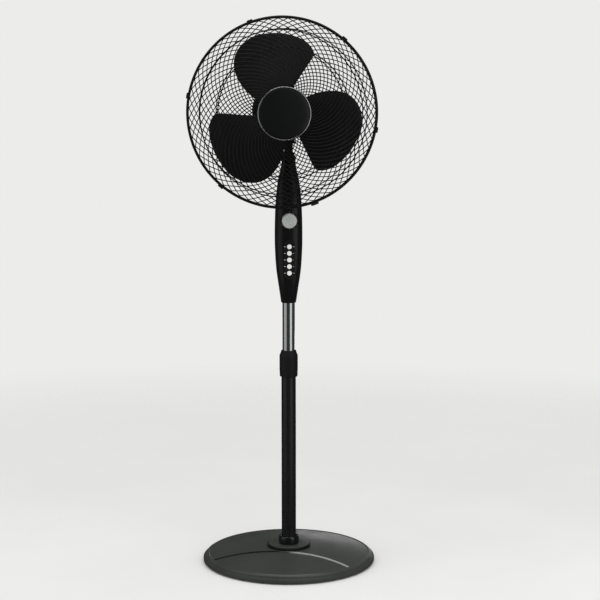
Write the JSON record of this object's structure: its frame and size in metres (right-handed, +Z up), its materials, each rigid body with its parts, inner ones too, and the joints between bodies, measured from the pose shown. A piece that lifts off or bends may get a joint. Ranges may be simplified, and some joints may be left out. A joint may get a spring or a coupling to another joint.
{
  "type": "pedestal fan",
  "caption": "Oscillating pedestal fan: caged petal blade, tilting motor head, control housing with timer knob and push buttons, telescopic pole, round weighted base.",
  "frame": {"origin": "on the floor, under the pole's axis", "axes": "+Z up the pole, -Y the way the air blows, +X to the right of someone who faces the fan"},
  "size_m": [0.4227, 0.396, 1.232],
  "materials": {
    "black_gloss": "glossy moulded plastic",
    "black_satin": "satin moulded plastic",
    "black_soft": "fine textured plastic",
    "cover_gloss": "glossy dark grey plastic",
    "pan_grey": "satin grey plastic",
    "foot_rubber": "soft rubber",
    "cast_weight": "rough cast",
    "zinc_steel": "zinc plated",
    "painted_pole": "semi-gloss black paint",
    "chrome": "polished chrome",
    "white_plastic": "white moulded plastic",
    "ivory_plastic": "ivory moulded plastic",
    "silver_plastic": "silver painted plastic",
    "wire_black": "black powder coat",
    "core_steel": "laminated steel",
    "copper": "lacquered copper wire",
    "bell_aluminium": "die cast",
    "bronze": "sintered bronze",
    "blue_plastic": "blue moulded plastic"
  },
  "bodies": {
    "base": {"base_feet": "foot_rubber", "base_pan": "pan_grey", "base_weight": "cast_weight", "base_cover": "cover_gloss", "pole_boss": "black_gloss", "foot_nut": "black_gloss", "base_bolt": "zinc_steel", "base_washer": "zinc_steel", "pole_plug": "black_satin", "lower_pole": "painted_pole", "collar_bush": "black_satin"},
    "collar": {"height_collar": "black_soft"},
    "mast": {"inner_pole": "chrome", "pole_stop": "white_plastic", "pole_socket": "black_satin", "housing_front": "black_gloss", "housing_rear": "black_gloss", "housing_screws": "zinc_steel", "button_panel": "black_gloss", "knob_bezel": "black_gloss", "timer_unit": "ivory_plastic", "switch_block": "ivory_plastic", "capacitor": "blue_plastic", "cord_gland": "foot_rubber", "tilt_yoke": "black_satin", "tilt_bolt": "zinc_steel"},
    "timer": {"timer_knob": "silver_plastic"},
    "key_light": {"button_light": "white_plastic"},
    "key_high": {"button_high": "white_plastic"},
    "key_medium": {"button_medium": "white_plastic"},
    "key_low": {"button_low": "white_plastic"},
    "key_off": {"button_off": "white_plastic"},
    "tilt_lock": {"tilt_knob": "black_satin"},
    "neck": {"tilt_knuckle": "black_satin", "swing_pin": "zinc_steel", "swing_clip": "zinc_steel", "link_stud": "zinc_steel"},
    "head": {"motor_mount": "black_satin", "stator_core": "core_steel", "stator_windings": "copper", "rear_bell": "bell_aluminium", "motor_bolts": "zinc_steel", "motor_bearings": "bronze", "gearbox_case": "ivory_plastic", "motor_cover": "black_satin", "cover_screw": "zinc_steel", "rear_guard_plate": "wire_black", "guard_nut": "black_satin", "rear_guard_wires": "wire_black", "rear_guard_hoops": "wire_black", "front_guard_wires": "wire_black", "front_guard_hoops": "wire_black", "guard_badge": "black_gloss", "badge_ring": "chrome", "rim_clips": "black_satin"},
    "swing_lift": {"swing_knob": "black_satin"},
    "crank": {"swing_crank": "ivory_plastic"},
    "link": {"swing_link": "zinc_steel"},
    "rotor": {"motor_rotor": "core_steel", "fan_blade": "black_satin"}
  },
  "joints": [
    {"name": "height_slide", "type": "slide", "parent": "base", "child": "mast", "axis": [0, 0, 1], "range_m": [-0.105, 0.12]},
    {"name": "collar_turn", "type": "hinge", "parent": "base", "child": "collar", "pos_m": [0, 0, 0.447], "axis": [0, 0, 1], "range_deg": [0, 150]},
    {"name": "timer_turn", "type": "hinge", "parent": "mast", "child": "timer", "pos_m": [0, -0.0316, 0.785], "axis": [0, 1, 0], "range_deg": [0, 300]},
    {"name": "light_press", "type": "slide", "parent": "mast", "child": "key_light", "axis": [0, 1, 0], "range_m": [0, 0.003], "stiffness_N_per_m": 250},
    {"name": "high_press", "type": "slide", "parent": "mast", "child": "key_high", "axis": [0, 1, 0], "range_m": [0, 0.003], "stiffness_N_per_m": 250},
    {"name": "medium_press", "type": "slide", "parent": "mast", "child": "key_medium", "axis": [0, 1, 0], "range_m": [0, 0.003], "stiffness_N_per_m": 250},
    {"name": "low_press", "type": "slide", "parent": "mast", "child": "key_low", "axis": [0, 1, 0], "range_m": [0, 0.003], "stiffness_N_per_m": 250},
    {"name": "off_press", "type": "slide", "parent": "mast", "child": "key_off", "axis": [0, 1, 0], "range_m": [0, 0.003], "stiffness_N_per_m": 250},
    {"name": "tilt_lock_turn", "type": "hinge", "parent": "mast", "child": "tilt_lock", "pos_m": [-0.023, 0, 0.922], "axis": [-1, 0, 0], "range_deg": [0, 180]},
    {"name": "tilt", "type": "hinge", "parent": "mast", "child": "neck", "pos_m": [0, 0, 0.922], "axis": [1, 0, 0], "range_deg": [-25, 15]},
    {"name": "swing", "type": "hinge", "parent": "neck", "child": "head", "pos_m": [0, 0, 0.97], "axis": [0, 0, 1], "range_deg": [-40, 40]},
    {"name": "crank_turn", "type": "hinge", "parent": "head", "child": "crank", "pos_m": [-0.02, 0.066, 0.965], "axis": [0, 0, 1], "range_deg": [-88, 88]},
    {"name": "link_turn", "type": "hinge", "parent": "neck", "child": "link", "pos_m": [-0.024, 0.004, 0.961], "axis": [0, 0, 1], "range_deg": [-44, 44]},
    {"name": "swing_lift_pull", "type": "slide", "parent": "head", "child": "swing_lift", "axis": [0, 0, 1], "range_m": [0, 0.008]},
    {"name": "blade_spin", "type": "hinge", "parent": "head", "child": "rotor", "pos_m": [-0.02, -0.12, 1.0255], "axis": [0, 1, 0], "continuous": true}
  ],
  "couplings": [
    {"joint": "crank_turn", "follows": "swing", "ratio": -2.2},
    {"joint": "link_turn", "follows": "swing", "ratio": 1.08}
  ]
}
